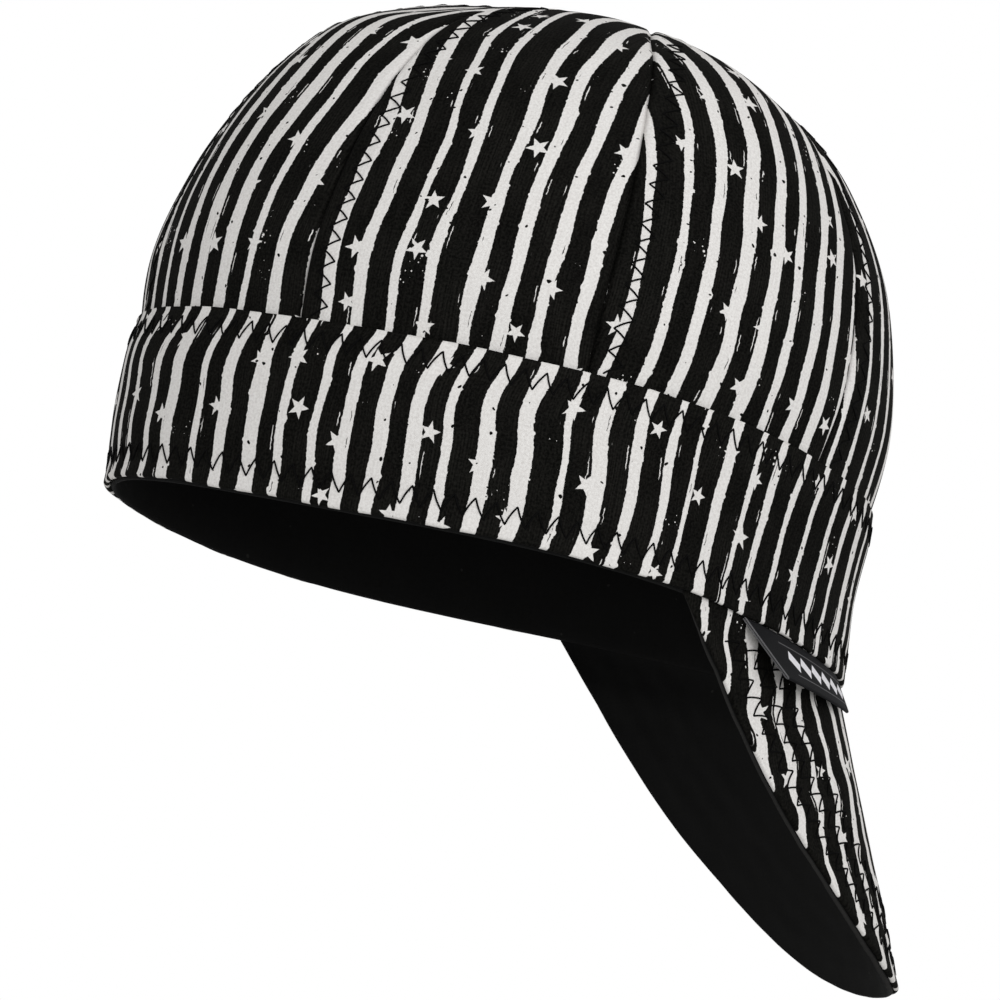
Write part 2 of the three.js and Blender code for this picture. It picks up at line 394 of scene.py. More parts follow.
def plug(tree, socket, value):
    """Join a wire to a socket, or write a plain number, vector or colour on it."""
    source = value.source if isinstance(value, Wire) else value
    if isinstance(source, bpy.types.NodeSocket):
        tree.links.new(source, socket)
    else:
        socket.default_value = source


def vector_of(tree, x, y, z=0.0):
    node = tree.nodes.new("ShaderNodeCombineXYZ")
    for name, value in zip("XYZ", (x, y, z)):
        plug(tree, node.inputs[name], value)
    return Wire(tree, node.outputs[0])


def parts_of(tree, vector):
    node = tree.nodes.new("ShaderNodeSeparateXYZ")
    plug(tree, node.inputs[0], vector)
    return Wire(tree, node.outputs["X"]), Wire(tree, node.outputs["Y"])


def cloud(tree, vector, scale=1.0, detail=1.0, rough=0.5):
    """Soft noise from 0 to 1, even about one half."""
    node = tree.nodes.new("ShaderNodeTexNoise")
    plug(tree, node.inputs["Vector"], vector)
    node.inputs["Scale"].default_value = scale
    node.inputs["Detail"].default_value = detail
    node.inputs["Roughness"].default_value = rough
    return Wire(tree, node.outputs["Fac"])


def dice(tree, vector):
    """Three random numbers for each whole-numbered place."""
    node = tree.nodes.new("ShaderNodeTexWhiteNoise")
    node.noise_dimensions = "3D"
    plug(tree, node.inputs["Vector"], vector)
    parts = tree.nodes.new("ShaderNodeSeparateColor")
    tree.links.new(node.outputs["Color"], parts.inputs[0])
    return [Wire(tree, socket) for socket in parts.outputs[:3]]


def mix_colours(tree, share, first, second):
    node = tree.nodes.new("ShaderNodeMix")
    node.data_type = "RGBA"
    plug(tree, node.inputs["Factor"], share)
    plug(tree, node.inputs[6], first)
    plug(tree, node.inputs[7], second)
    return Wire(tree, node.outputs[2])


# %% Groups and materials to fill
def new_group(name, inputs, outputs):
    """A node group with vector inputs and number outputs, and its two end nodes."""
    tree = bpy.data.node_groups.new(name, "ShaderNodeTree")
    for title in inputs:
        tree.interface.new_socket(title, in_out="INPUT", socket_type="NodeSocketVector")
    for title in outputs:
        tree.interface.new_socket(title, in_out="OUTPUT", socket_type="NodeSocketFloat")
    start = tree.nodes.new("NodeGroupInput")
    end = tree.nodes.new("NodeGroupOutput")
    return tree, start, end


def place_group(tree, group, vector):
    node = tree.nodes.new("ShaderNodeGroup")
    node.node_tree = group
    plug(tree, node.inputs[0], vector)
    return {socket.name: Wire(tree, socket) for socket in node.outputs}


def bare_material(name):
    material = bpy.data.materials.new(name)
    material.use_nodes = True
    tree = material.node_tree
    return material, tree, tree.nodes["Principled BSDF"]


def cloth_material(name):
    """A material with its surface shader and the cutting-table place in millimetres."""
    material, tree, shader = bare_material(name)
    flat = tree.nodes.new("ShaderNodeUVMap")
    flat.uv_map = "cut"
    scale = tree.nodes.new("ShaderNodeVectorMath")
    scale.operation = "SCALE"
    scale.inputs["Scale"].default_value = 1 / mm
    tree.links.new(flat.outputs["UV"], scale.inputs[0])
    return material, tree, shader, Wire(tree, scale.outputs[0])


def paint(tree, shader, colour, roughness, shine):
    plug(tree, shader.inputs["Base Color"], colour)
    plug(tree, shader.inputs["Roughness"], roughness)
    plug(tree, shader.inputs["Specular IOR Level"], shine)


def add_bump(tree, shader, height, distance, strength=1.0):
    node = tree.nodes.new("ShaderNodeBump")
    node.inputs["Distance"].default_value = distance
    node.inputs["Strength"].default_value = strength
    plug(tree, node.inputs["Height"], height)
    tree.links.new(node.outputs["Normal"], shader.inputs["Normal"])


# %% [markdown]
# Plain cotton is threads over and under each other. From arm's length three things of it show: a fine
# grain, faint upright ribs where the threads lie close, and single threads paler or darker than their
# neighbours. The weave group gives all of them as masks, so the printed cloth and the black cloth share
# it. A picture of cloth could do this too, but a formula stays sharp at any distance.

# %% The weave of plain cotton
thread_pitch = 0.46
weft_share = 0.93
rib_pitch = 0.74
weave_masks = ["Height", "Grain", "Rib", "Streak", "Slub"]
weave_group, weave_in, weave_out = new_group("plain weave", ["Cloth"], weave_masks)


def fill_weave(tree, start, end):
    cloth_mm = Wire(tree, start.outputs["Cloth"])
    across, along = parts_of(tree, cloth_mm)
    turn = 2 * math.pi / thread_pitch
    warp = (across * turn).math("SINE")
    weft = (along * (turn * weft_share)).math("SINE")
    over_under = warp * weft * 0.5 + 0.5
    fuzz = cloud(tree, cloth_mm, scale=2.6, detail=3)
    grain = cloud(tree, cloth_mm, scale=1.5, detail=2, rough=0.7)
    drift = cloud(tree, vector_of(tree, across * 0.35, along * 0.05, 13.0), detail=1)
    close = cloud(tree, cloth_mm, scale=0.07, detail=1)
    rib = (across * (2 * math.pi / rib_pitch) + drift * 14.0).math("SINE") * 0.5 + 0.5
    streak = cloud(tree, vector_of(tree, across * 1.9, along * 0.1), detail=2)
    slub = cloud(tree, vector_of(tree, across * 0.12, along * 1.4, 7.0), detail=2)
    masks = (over_under * 0.6 + fuzz * 0.4, grain, rib * close.over(0.5, 0.3), streak, slub)
    for title, mask in zip(weave_masks, masks):
        plug(tree, end.inputs[title], mask)


fill_weave(weave_group, weave_in, weave_out)
print("weave group has", len(weave_group.nodes), "nodes")

# %% [markdown]
# The print is black ink on white cotton: uneven stripes that run along the grain, five-pointed stars
# scattered between them, and the specks and broken hairlines that a worn printing screen leaves. It is
# worked out in steps. First the across coordinate is pushed left and right by slow noise, so the stripes
# wander. Then its distance to the nearest stripe edge is taken, with rough noise added, and the ink is
# where that distance is below zero.

# %% Stripes that wander
stripe_pitch = 8.9
stripe_stray = 0.2
ink_least = 0.272
ink_spread = 0.16
sway_slow = 5.0
sway_quick = 1.7
print_group, print_in, print_out = new_group("star stripe print", ["Cloth"], ["Ink"])


def stripe_distance(tree, cloth_mm):
    """Millimetres from the nearest stripe edge, below zero inside the ink."""
    across, along = parts_of(tree, cloth_mm)
    slow = cloud(tree, vector_of(tree, across / 52.0, along / 34.0, 3.0), detail=0)
    quick = cloud(tree, vector_of(tree, across / 10.0, along / 21.0, 11.0), detail=1)
    wander = across + (slow - 0.5) * sway_slow + (quick - 0.5) * sway_quick
    stripe = (wander / stripe_pitch + 0.5).math("FLOOR")
    stray, broad = dice(tree, vector_of(tree, stripe, 5.0, 2.0))[:2]
    beside = (wander / stripe_pitch - stripe - (stray - 0.5) * stripe_stray).math("ABSOLUTE")
    swell = cloud(tree, vector_of(tree, stripe * 3.7, along / 19.0, 2.0), detail=1)
    half_ink = broad * ink_spread + ink_least + (swell - 0.5) * ink_spread
    return (beside - half_ink) * stripe_pitch


# %% [markdown]
# A star is a circle cut into five equal slices. Any point is turned into one slice and folded onto its
# upper half, where the star's edge is a single straight line from a tip to an inner corner. The distance
# to that line says whether the point is in the star. Stars are dealt out one to a square of a loose
# grid, each with its own place, turn and size, and some squares stay empty.

# %% Stars scattered over the cloth
star_points = 5
star_square = 18.2
star_stray = star_square * 0.55
star_radius = 2.3
star_growth = 0.8
star_inner = 0.42
star_share = 0.86
far_away = 50.0


def star_distance(tree, cloth_mm):
    """Millimetres from the edge of the nearest star, below zero inside it."""
    across, along = parts_of(tree, cloth_mm)
    row = (along / star_square).math("FLOOR")
    row_slip = dice(tree, vector_of(tree, row, 31.0, 4.0))[0]
    slid = across + row_slip * star_square
    square = (slid / star_square).math("FLOOR")
    left, low, turn = dice(tree, vector_of(tree, square, row, 17.0))
    big, there = dice(tree, vector_of(tree, square, row, 29.0))[:2]
    x = slid - (square + 0.5) * star_square - (left - 0.5) * star_stray
    y = along - (row + 0.5) * star_square - (low - 0.5) * star_stray
    reach = (x * x + y * y).math("SQRT")
    slice_angle = 2 * math.pi / star_points
    angle = y.math("ARCTAN2", x) + turn * slice_angle
    folded = angle / slice_angle
    folded = ((folded - (folded + 0.5).math("FLOOR")) * slice_angle).math("ABSOLUTE")
    radius = big * star_growth + star_radius
    corner_x = star_inner * math.cos(slice_angle / 2)
    corner_y = star_inner * math.sin(slice_angle / 2)
    edge = math.hypot(1 - corner_x, corner_y)
    over = (reach * folded.math("COSINE") - radius) * (corner_y / edge)
    beyond = reach * folded.math("SINE") * ((1 - corner_x) / edge)
    return over + beyond + there.over(star_share) * far_away


# %% Specks, hairlines and the finished print
scratch_inset = 0.9
sliver_offset = 0.75


def fill_print(tree, start, end):
    cloth_mm = Wire(tree, start.outputs["Cloth"])
    across, along = parts_of(tree, cloth_mm)
    nibble = cloud(tree, cloth_mm, scale=0.75, detail=3, rough=0.6)
    fray = cloud(tree, vector_of(tree, across * 2.2, along * 1.1, 5.0), detail=1)
    bite = (cloud(tree, cloth_mm, scale=0.34, detail=2) - 0.6).math("MAXIMUM", 0.0)
    rough_edge = (nibble - 0.5) * 0.62 + (fray - 0.5) * 0.3 + bite * 3.5
    edge = stripe_distance(tree, cloth_mm) + rough_edge
    ink = edge.under(0.0, 0.12)
    patch = cloud(tree, vector_of(tree, across / 9.0, along / 13.0, 21.0), detail=1)
    line_break = cloud(tree, vector_of(tree, across / 3.0, along / 11.0, 43.0), detail=1)
    scratch = (edge + scratch_inset).math("ABSOLUTE").under(0.11, 0.08) * line_break.over(0.65, 0.02)
    sliver = (edge - sliver_offset).math("ABSOLUTE").under(0.1, 0.08) * line_break.under(0.31, 0.02)
    specks = tree.nodes.new("ShaderNodeTexVoronoi")
    specks.voronoi_dimensions = "2D"
    specks.inputs["Scale"].default_value = 0.62
    plug(tree, specks.inputs["Vector"], cloth_mm)
    size = Wire(tree, specks.outputs["Color"]) * 0.24 + (patch - 0.76) * 1.5 + (nibble - 0.5) * 0.25
    fleck = (Wire(tree, specks.outputs["Distance"]) - size).under(0.0, 0.04)
    pale = fleck * patch.over(0.64, 0.02)
    star = (star_distance(tree, cloth_mm) + (nibble - 0.5) * 0.35).under(0.0, 0.12)
    dark_fleck = cloud(tree, cloth_mm, scale=0.55, detail=0).over(0.79, 0.02)
    ink = ink.math("SUBTRACT", scratch.math("MAXIMUM", pale) * ink)
    ink = ink.math("MAXIMUM", sliver)
    ink = ink.math("MINIMUM", Wire(tree, 1.0) - star)
    ink = ink.math("MAXIMUM", dark_fleck)
    plug(tree, end.inputs["Ink"], ink)


fill_print(print_group, print_in, print_out)
print("print group has", len(print_group.nodes), "nodes")

# %% [markdown]
# On the printed cotton the ink lies in the cloth, so it changes the colour and takes away a little of
# the shine, while the weave runs on under both colours. The white is the natural white of washed cotton.

# %% Printed cotton
cotton_white = (0.835, 0.82, 0.8, 1)
# The grey of darker threads, which also stands as painted shade in the gaps between threads.
grey_thread_and_gap_shade = (0.62, 0.595, 0.575, 1)
ink_black = (0.0022, 0.0022, 0.0019, 1)
worn_black = (0.0142, 0.0137, 0.012, 1)


def make_printed_cotton():
    material, tree, shader, cloth_mm = cloth_material("printed_cotton")
    weave = place_group(tree, weave_group, cloth_mm)
    ink = place_group(tree, print_group, cloth_mm)["Ink"]
    # Painted shade: the white greys where the weave lies low, in the gaps between threads, as well as
    # along darker threads and grain.
    streaks_and_gap_shade = (weave["Streak"] - 0.42) * 0.5 + weave["Height"].under(0.35, 0.3) * 0.25
    greying_and_gap_shade = streaks_and_gap_shade + (weave["Grain"] - 0.42) * 2.1 + weave["Rib"] * 0.06
    white = mix_colours(tree, greying_and_gap_shade.math("MAXIMUM", 0.0), cotton_white, grey_thread_and_gap_shade)
    worn = weave["Grain"].over(0.51, 0.26) * 0.5 + weave["Rib"] * 0.35
    worn = worn + weave["Streak"].over(0.56, 0.16) * 0.2
    black = mix_colours(tree, worn, ink_black, worn_black)
    rough = ink * -0.08 + weave["Slub"] * 0.06 + 0.86
    paint(tree, shader, mix_colours(tree, ink, white, black), rough, shine=0.03)
    relief = weave["Height"] + weave["Streak"] * 0.6 + weave["Slub"] * 0.5
    add_bump(tree, shader, relief, 0.06 * mm, 0.7)
    return material


printed_cotton = make_printed_cotton()
print("made", printed_cotton.name)

# %% [markdown]
# The sweatband, the underside of the bill and the inside of the crown are plain black cotton. Black
# cloth is never empty: its nap catches a little light, which is painted in as a paler black where the
# weave stands high, threads differ, and lint sits on it as tiny pale dots. The thread of the zigzag
# seams is the same black, twisted, so it shines in short lines, painted in as paler flecks.

# %% Black cotton and black thread
cotton_black = (0.006, 0.006, 0.006, 1)
# The paler blacks are painted sheen on the nap, mixed with paler threads and wear.
cotton_black_sheen_and_wear = (0.0125, 0.0125, 0.0122, 1)
lining_black = (0.0075, 0.0075, 0.0075, 1)
lining_black_sheen_and_wear = (0.0135, 0.0135, 0.0132, 1)
lint_grey = (0.03, 0.029, 0.028, 1)
thread_dark = (0.0012, 0.0012, 0.0012, 1)
# The paler black of the thread is painted shine.
thread_painted_shine = (0.006, 0.006, 0.006, 1)
twist_scale = 5200


def make_black_cotton(name, dark, light, lint_amount):
    material, tree, shader, cloth_mm = cloth_material(name)
    weave = place_group(tree, weave_group, cloth_mm)
    wear = cloud(tree, cloth_mm, scale=0.05, detail=3)
    # Painted sheen: the black turns paler where the weave stands high, as if its nap caught the light.
    # Paler threads and soft patches of wear add to it.
    shade = weave["Streak"] * 0.35 + wear * 0.4 + weave["Height"] * 0.25
    base = mix_colours(tree, shade, dark, light)
    lint = cloud(tree, cloth_mm, scale=0.42, detail=0).over(0.86, 0.03) * lint_amount
    # The fold of the bill underside's welt, marked by a vertex attribute, turns a paler grey in patches.
    pale_fold_mark = tree.nodes.new("ShaderNodeAttribute")
    pale_fold_mark.attribute_name = "worn"
    fold = Wire(tree, pale_fold_mark.outputs["Fac"]) * (wear * 0.8 + weave["Slub"] * 0.6)
    base = mix_colours(tree, fold, base, lint_grey)
    rough = weave["Slub"] * 0.08 + 0.88
    paint(tree, shader, mix_colours(tree, lint, base, lint_grey), rough, shine=0.12)
    add_bump(tree, shader, weave["Height"] + weave["Slub"] * 0.8, 0.07 * mm, 0.8)
    return material


def make_thread():
    material, tree, shader = bare_material("black_thread")
    place = tree.nodes.new("ShaderNodeTexCoord")
    # Painted shine: the black thread turns paler in fine flecks, standing for the shine of its twist.
    twist = cloud(tree, Wire(tree, place.outputs["Object"]), scale=twist_scale, detail=1)
    colour = mix_colours(tree, twist, thread_dark, thread_painted_shine)
    paint(tree, shader, colour, twist * 0.2 + 0.65, shine=0.04)
    add_bump(tree, shader, twist, 0.05 * mm)
    return material


black_cotton = make_black_cotton("black_cotton", cotton_black, cotton_black_sheen_and_wear, lint_amount=0.8)
crown_lining = make_black_cotton("crown_inside", lining_black, lining_black_sheen_and_wear, lint_amount=0.3)
black_thread = make_thread()
print("made", black_cotton.name, crown_lining.name, "and", black_thread.name)

# %% [markdown]
# The crown panels are leaf-shaped pieces of print, sewn edge to edge. Between its seams each panel
# swells a little, and at a seam both edges turn down into a narrow groove. Behind one side of every
# seam lie the folded seam allowances, so that side stands a few tenths of a millimetre prouder, and the
# zigzag stitching through them draws the cloth down again. All of this is relief on one smooth shell.
# All but the groove fades out at the seam itself, so both panels share one edge and no light comes
# through.

# %% A crown panel's shell
flat_tip_share = 0.09
swell_lean = 0.8


def seam_angle(seam, crowd):
    even = 2 * math.pi * seam / panel_count
    return even - math.radians(crowd) * math.sin(2 * even) * (1 + math.cos(even)) / 2


@functools.lru_cache(maxsize=None)
def crowd_at(share):
    return column(crown_rows, "crowd", max(share, 0))


def panel_angle(panel, across, share):
    crowd = crowd_at(share)
    return blend(seam_angle(panel, crowd), seam_angle(panel + 1, crowd), across)


def panel_surface(panel):
    return lambda across, share: ring_point(crown_ring(share), panel_angle(panel, across, share))


def crown_puff(share, across, angle):
    """How far the cloth swells between two seams, less the dents pressed into it."""
    if share <= 0:
        return 0
    up = column(crown_rows, "up", share)
    middle = math.sin(math.pi * across)
    flat_tip = min(1, (1 - share) / flat_tip_share)
    puff = middle * math.sin(math.pi * share**swell_lean)
    for dent in dent_table:
        away = angle - math.radians(dent["around"])
        turn = math.atan2(math.sin(away), math.cos(away))
        far = (turn / math.radians(dent["wide"])) ** 2 + ((up - dent["up"]) / dent["tall"]) ** 2
        puff -= dent["deep"] * math.exp(-far) * blend(dent["seam"], 1, middle) * flat_tip
    return panel_puff * puff


# %% The cut of a panel
panel_columns = 64
panel_rows = 140
width_steps = 8


class Panel:
    """One panel: its shell, its width at each height, and its length up the middle."""

    def __init__(self, number):
        self.number = number
        self.shell = panel_surface(number)
        self.middle = Ruler(lambda share: self.shell(0.5, share), hem_share, 1.0)
        self.widths = [self.width_of(share) for share in self.middle.shares]

    def width_of(self, share):
        places = [self.shell(step / width_steps, share) for step in range(width_steps + 1)]
        return sum((b - a).length for a, b in zip(places, places[1:]))

    def width_at(self, share):
        return Ruler.read(self.middle.shares, self.widths, share)

    def area(self):
        total = 0
        for index in range(len(self.widths) - 1):
            step = self.middle.marks[index + 1] - self.middle.marks[index]
            total += step * (self.widths[index] + self.widths[index + 1]) / 2
        return total


panels = [Panel(number) for number in range(panel_count)]
print("widest panel:", round(1000 * max(max(panel.widths) for panel in panels), 1), "mm")

# %% The relief of a panel
seam_groove = 0.8 * mm
seam_edge = 0.9 * mm
seam_stitch_inset = 5.7 * mm
stitch_draw = 0.22 * mm
allowance_width = 8.5 * mm
allowance_lift = 0.3 * mm
allowance_slope = 0.7 * mm
narrow_width = 14 * mm


def panel_relief(panel, across, share):
    width = panel.width_at(share)
    up = panel.middle.length_at(share)
    from_high_seam = (1 - across) * width
    from_stitch = from_high_seam - seam_stitch_inset
    nearest = min(across * width, from_high_seam)
    narrow = min(1, width / narrow_width)
    groove = -seam_groove * bump(nearest, 0.85 * mm)
    folded = allowance_lift / (1 + math.exp((from_high_seam - allowance_width) / allowance_slope))
    drawn = -stitch_draw * bump(from_stitch, 1.5 * mm)
    place = Vector((across * width, up, 0.1 * panel.number))
    pucker = ripple(place, long=4.5 * mm, high=0.16 * mm) * bump(from_stitch, 5 * mm)
    gather = ripple(place, long=9 * mm, high=0.25 * mm) * bump(nearest, 9 * mm)
    soft = ripple(place, long=30 * mm, high=0.55 * mm) * math.sin(math.pi * across)
    settle = 1 - 0.8 * bump(max(up - seam_allowance, 0), 6 * mm)
    off_seam = min(1, nearest / seam_edge)
    return narrow * (groove + off_seam * (folded + drawn + settle * (pucker + gather + soft)))


def panel_spot(panel, across, share):
    out = way_out(panel.shell, across, share)
    lift = crown_puff(share, across, panel_angle(panel.number, across, share))
    return panel.shell(across, share) + out * (lift + panel_relief(panel, across, share)), out


# %% Cut and lay the eight panels
tip_share = 0.9995
panel_cut_start = 64.5 * mm
panel_cut_step = (137.3 * mm, 61.7 * mm)


def panel_share(row):
    """Rows are even up the crown, with the first few behind the band."""
    return blend(hem_share, tip_share, row / panel_rows)


def make_panel(panel):
    def spot(column_at, row):
        return panel_spot(panel, column_at / panel_columns, panel_share(row))[0]

    def cut(column_at, row):
        share = panel_share(row)
        across = (column_at / panel_columns - 0.5) * panel.width_at(share) + panel_cut_start
        along = panel.middle.length_at(share)
        return across + panel.number * panel_cut_step[0], along + panel.number * panel_cut_step[1]

    name = f"crown_panel_{panel.number + 1}_cloth"
    piece = cloth(name, panel_columns, panel_rows, spot, cut, printed_cotton)
    piece.data.materials.append(crown_lining)
    wall = piece.modifiers.new("wall", "SOLIDIFY")
    wall.thickness = panel_wall
    wall.offset = -1
    wall.material_offset = 1
    wall.material_offset_rim = 1
    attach(piece, "root")
    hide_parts(f"crown_panel_{panel.number + 1}")
    max(panel.widths)
    panel.area()


for panel in panels:
    make_panel(panel)

# %% [markdown]
# The band, the sweatband, the bill and the label are strips with turned edges. Their section is one
# closed path: up the outer face, round the fold, down the inner face and round the hem. A station on
# that path says how far up the strip it is, as a share between the two folds, how far it slips past a
# fold, how deep it lies under the outer face, and how much it belongs to that face.

# %% The section of a folded strip
Station = namedtuple("Station", "share slip depth face travel")


def folded_section(wall, radius, outer_rows, inner_rows, fold_rows):
    """Stations round a strip. Slip is in fold radii, and travel is the way round in metres past a fold."""
    stations = [Station(step / outer_rows, 0, 0, 1, 0) for step in range(outer_rows + 1)]
    for step in range(1, fold_rows):
        turn = math.pi * step / fold_rows
        depth = wall / 2 * (1 - math.cos(turn))
        stations.append(Station(1, math.sin(turn), depth, max(math.cos(turn), 0), radius * turn))
    for step in range(inner_rows + 1):
        stations.append(Station(1 - step / inner_rows, 0, wall, 0, math.pi * radius))
    for step in range(1, fold_rows):
        turn = math.pi * (1 - step / fold_rows)
        depth = wall / 2 * (1 - math.cos(turn))
        stations.append(Station(0, -math.sin(turn), depth, max(math.cos(turn), 0), -radius * turn))
    stations.append(stations[0])
    return stations


# %% [markdown]
# The band is doubled cloth laid over the foot of the crown, so its top edge is a soft fold with a dark
# line under it. Two rows of zigzag hold it, one a few millimetres below that fold and one above the rim,
# and between them the cloth is free to belly out a little. Its short ends are joined at the middle of
# the back, which leaves a narrow upright groove and a break in the stripes.

# %% The band
band_columns = 560
band_stitch_heights = (6.2 * mm, band_height - 4.9 * mm)
band_top_roll = 0.95 * mm
band_stitch_draw = 0.28 * mm
band_cut_place = (21 * mm, 410 * mm)
top_pull = 1.4 * mm
low_pull = 0.7 * mm
front_pull = 1.8
front_at = 0.48
front_wide = 0.15


def band_relief(around, height):
    arc = band_ruler.length_at(around % 1)
    place = Vector((arc, height, 5.0))
    below_top = band_height - height
    relief = -seam_groove * bump(min(arc, band_ruler.length - arc), 0.9 * mm)
    relief += ripple(place, long=26 * mm, high=0.35 * mm)
    relief -= band_top_roll * bump(max(below_top, 0), 3.6 * mm)
    for stitched in band_stitch_heights:
        away = height - stitched
        relief -= band_stitch_draw * bump(away, 2.6 * mm)
        relief += ripple(place, long=4.4 * mm, high=0.17 * mm) * bump(away, 5 * mm)
    relief += edge_ripple(arc, (9.0, 0.0), long=7 * mm, high=0.3 * mm) * bump(below_top, 4 * mm)
    relief += edge_ripple(arc, (9.0, 0.0), long=7 * mm, high=0.2 * mm) * bump(height, 3 * mm)
    return relief


def band_spot(around, height):
    share = height / band_height
    out = way_out(band_surface, around, share)
    return band_surface(around, share) + out * band_relief(around, height), out


def edge_wander(arc, seed):
    """A fold is never quite straight: it rises and falls by a fraction of a millimetre."""
    return edge_ripple(arc, (seed, 0.5), long=14 * mm, high=0.35 * mm)


def sewing_drag(arc, height):
    """The machine pulls both edges of the band along and the cloth between creeps, so its stripes bend."""
    share = 1 + edge_ripple(arc, (4.0, 0.0), long=60 * mm, high=0.6)
    share += front_pull * bump(arc / band_ruler.length - front_at, front_wide)
    creep = edge_ripple(arc, (height / (14 * mm), 8.0), long=48 * mm, high=1.1 * mm)
    pull = top_pull * bump(band_height - height, 8 * mm) - low_pull * bump(height, 7 * mm)
    return (pull + creep) * share


def make_band():
    radius = band_wall / 2
    stations = folded_section(band_wall, radius, outer_rows=46, inner_rows=10, fold_rows=8)

    def height_of(around, station):
        arc = band_ruler.length_at(around)
        rise = blend(edge_wander(arc, 2.0), edge_wander(arc, 6.0), station.share)
        return radius + station.share * (band_height - 2 * radius) + station.slip * radius + rise

    def spot(column_at, row):
        station = stations[row]
        around = column_at / band_columns
        height = height_of(around, station)
        out = way_out(band_surface, around, height / band_height)
        lift = band_relief(around, height) * station.face - station.depth
        return band_surface(around, height / band_height) + out * lift

    def cut(column_at, row):
        station = stations[row]
        along = station.share * (band_height - 2 * radius) + station.travel
        arc = band_ruler.length_at(column_at / band_columns)
        return arc + sewing_drag(arc, along) + band_cut_place[0], along + band_cut_place[1]

    piece = cloth("band_cloth", band_columns, len(stations) - 1, spot, cut, printed_cotton, closed=True)
    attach(piece, "root")
    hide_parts("band")


make_band()

# %% [markdown]
# Inside the band lies the sweatband, a plain strip of black cotton that touches the forehead. Its hem
# shows by a hair below the rim, so from underneath the inside of the cap is black to its very edge.

# %% The sweatband
sweatband_columns = 240
inner_face_cut = 60 * mm


def make_sweatband():
    radius = sweatband_wall / 2
    inset = band_wall + clearance
    top = band_height - seam_allowance - clearance
    height = top + sweatband_show
    stations = folded_section(sweatband_wall, radius, outer_rows=12, inner_rows=12, fold_rows=6)

    def spot(column_at, row):
        station = stations[row]
        around = column_at / sweatband_columns
        up = -sweatband_show + radius + station.share * (height - 2 * radius) + station.slip * radius
        out = way_out(band_surface, around, up / band_height)
        wave = edge_ripple(around, (up / (12 * mm), 3.0), long=1 / 90, high=0.25 * mm)
        depth = inset + station.depth + wave * (1 - station.face)
        return band_surface(around, up / band_height) - out * depth

    def cut(column_at, row):
        station = stations[row]
        side = station.depth / sweatband_wall * inner_face_cut
        along = station.share * height + station.travel + side
        return band_ruler.length_at(column_at / sweatband_columns), along

    rows = len(stations) - 1
    piece = cloth("sweatband_cloth", sweatband_columns, rows, spot, cut, black_cotton, closed=True)
    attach(piece, "root")
    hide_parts("sweatband")


make_sweatband()

# %% [markdown]
# The bill is soft: two layers sewn together, hung from the rim round the back of the head. Straight
# lines run down it from the rim to the free edge, and each leans out by its own angle. A surface made of
# such lines can be unrolled flat, line by line, with every length kept. That gives the shape the bill was
# cut to, and the print follows the cut, with its stripes along the middle line.

# %% The hanging surface of the bill
def rim_outward(angle, draw_back):
    step = 0.001
    rim = band_ring(0)
    along = ring_point(rim, angle + step) - ring_point(rim, angle - step)
    out = Vector((-along.y, along.x, 0)).normalized()
    if out.dot(ring_point(rim, angle)) < 0:
        out.negate()
    return out.lerp(Vector((0, 1, 0)), draw_back).normalized()


def hanging_point(angle, inset, drop, flare, draw_back):
    """A place below the rim on a sheet that leans out by an angle and is drawn towards the back."""
    root = ring_point(band_ring(0), angle) - rim_outward(angle, 0) * inset
    root.z -= clearance + drop * math.cos(flare)
    return root + rim_outward(angle, draw_back) * (drop * math.sin(flare))


def mirrored_curve(rows, share):
    sides = [-row["side"] for row in rows[:0:-1]] + [row["side"] for row in rows]
    depths = [row["depth"] for row in rows[:0:-1]] + [row["depth"] for row in rows]
    return curve_through(sides, share), curve_through(depths, share)


@functools.lru_cache(maxsize=None)
def bill_depth_at(side):
    low = 0.0
    high = 1.0
    for halving in range(30):
        middle = (low + high) / 2
        if mirrored_curve(bill_table, middle)[0] < side:
            low = middle
        else:
            high = middle
    return bill_end_depth + (bill_depth - bill_end_depth) * max(mirrored_curve(bill_table, low)[1], 0)


def bill_surface(side, drop):
    flare = blend(bill_flare, bill_end_flare, side * side)
    return hanging_point(bill_half_angle * side, band_wall, drop, flare, bill_draw_back)


def bill_out(side, drop):
    return way_out(bill_surface, side, drop, step=0.004, rise=-mm)


print("bill hangs", round(1000 * bill_depth_at(0.0), 1), "mm in the middle")

# %% Unroll the bill on the cutting table
def third_corner(a, b, edge_a, edge_b, side):
    """Where a triangle's last corner falls once laid flat, from two corners and its edges to them."""
    from_a = edge_a.length
    from_b = edge_b.length
    base = b - a
    length = base.length
    along = (from_a**2 - from_b**2 + length**2) / (2 * length)
    away = math.sqrt(max(from_a**2 - along**2, 0))
    across = Vector((-base.y, base.x)).normalized() * side
    return a + base.normalized() * along + across * away


def unroll(surface, depth_at, steps=120):
    """Flat rim point and flat direction of each hanging line, from the middle out to both ends."""
    lines = {0: (Vector((0, 0)), Vector((0, -depth_at(0.0))))}
    for way in (1, -1):
        for step in range(steps):
            here = way * step / steps
            there = way * (step + 1) / steps
            rim_a = surface(here, 0)
            edge_a = surface(here, depth_at(here))
            rim_b = surface(there, 0)
            edge_b = surface(there, depth_at(there))
            flat_rim, flat_edge = lines[way * step]
            new_rim = third_corner(flat_rim, flat_edge, rim_b - rim_a, rim_b - edge_a, way)
            new_edge = third_corner(new_rim, flat_edge, edge_b - rim_b, edge_b - edge_a, way)
            lines[way * (step + 1)] = (new_rim, new_edge)
    rims, edges = zip(*(lines[step] for step in range(-steps, steps + 1)))
    ways = [(edge - rim).normalized() for rim, edge in zip(rims, edges)]
    return rims, ways, edges


def outline_area(points):
    pairs = zip(points, points[1:] + points[:1])
    return abs(sum(a.x * b.y - b.x * a.y for a, b in pairs)) / 2


